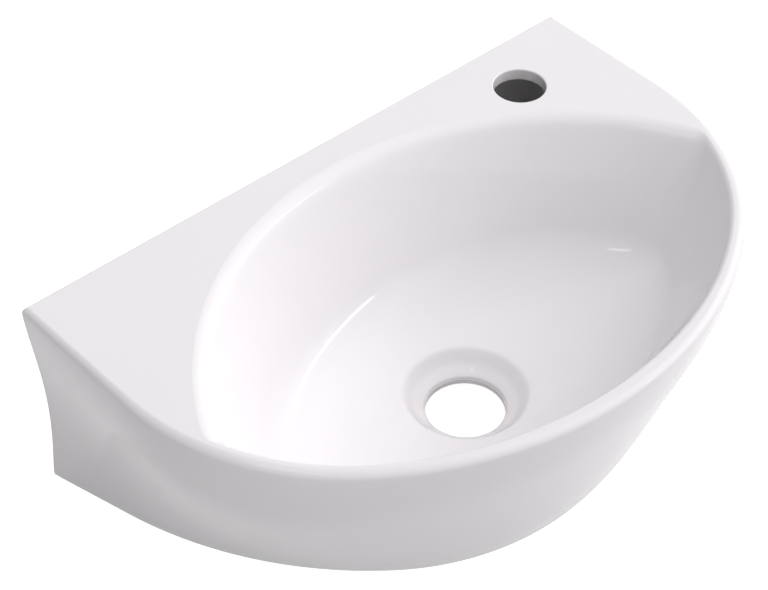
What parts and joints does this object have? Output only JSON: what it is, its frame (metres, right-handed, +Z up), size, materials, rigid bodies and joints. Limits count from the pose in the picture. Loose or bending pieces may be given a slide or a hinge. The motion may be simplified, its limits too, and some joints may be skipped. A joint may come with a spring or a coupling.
{
  "type": "wall-hung wash basin",
  "caption": "Small wall-hung wash basin with one straight side against the wall, a bowed front, a lens-shaped bowl, a tap hole on the right and its wall bolts.",
  "frame": {"origin": "on the wall's face, half-way between the two wall bolts, 80 mm below the rim's top", "axes": "+Y runs into the wall, +Z is up, +X is the right-hand side of a person who stands at the basin"},
  "size_m": [0.4304, 0.3395, 0.15],
  "materials": {
    "glazed_china": "glossy white glaze on vitreous china",
    "plated_steel": "bright zinc plate",
    "grey_nylon": "matte moulded nylon",
    "white_plastic": "satin moulded plastic"
  },
  "bodies": {
    "root": {"basin_body": "glazed_china", "hanger_bolt_left": "plated_steel", "hanger_bolt_right": "plated_steel", "wall_plug_left": "grey_nylon", "wall_plug_right": "grey_nylon", "fixing_collar_left": "white_plastic", "fixing_collar_right": "white_plastic", "fixing_washer_left": "plated_steel", "fixing_washer_right": "plated_steel", "fixing_nut_left": "plated_steel", "fixing_nut_right": "plated_steel"}
  },
  "joints": []
}
